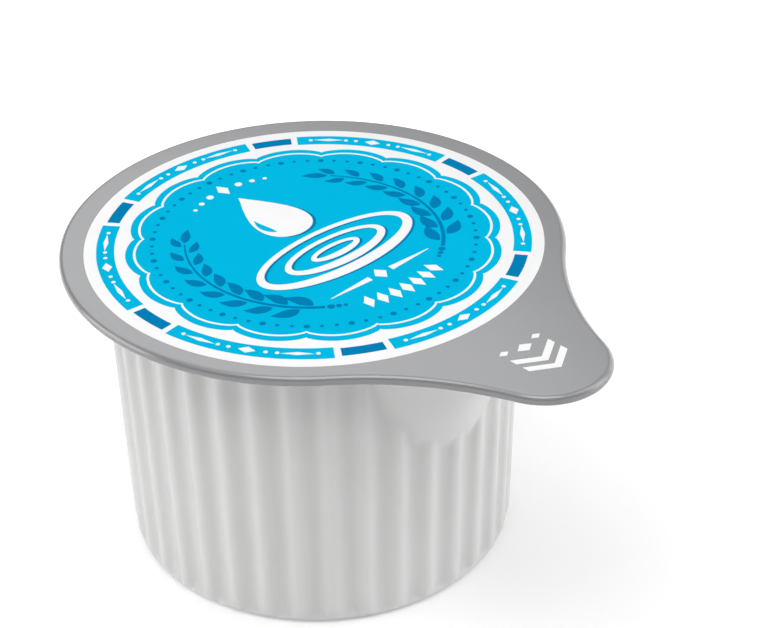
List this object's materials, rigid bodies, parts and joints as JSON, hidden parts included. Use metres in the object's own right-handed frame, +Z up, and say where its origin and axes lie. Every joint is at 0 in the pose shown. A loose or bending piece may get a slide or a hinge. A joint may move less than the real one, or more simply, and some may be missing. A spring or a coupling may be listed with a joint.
{
  "type": "lidded creamer jug",
  "caption": "Squat fluted white ceramic creamer jug, shaped like an oversized single-serve creamer pot, with a pouring spout under a flat grey silicone lid with a pull tab.",
  "frame": {"origin": "on the jug's own axis, at the plane that it stands on", "axes": "+Z up along the jug's axis, +X towards the spout and the lid's pull tab"},
  "size_m": [0.1268, 0.102, 0.0677],
  "materials": {
    "glaze": "smooth white glaze, soft gloss",
    "silicone": "satin grey moulded silicone",
    "print_white": "flat white printed disc",
    "print_cyan": "flat cyan print",
    "print_blue": "flat dark blue print"
  },
  "bodies": {
    "root": {"jug": "glaze", "lid": "silicone"}
  },
  "joints": []
}
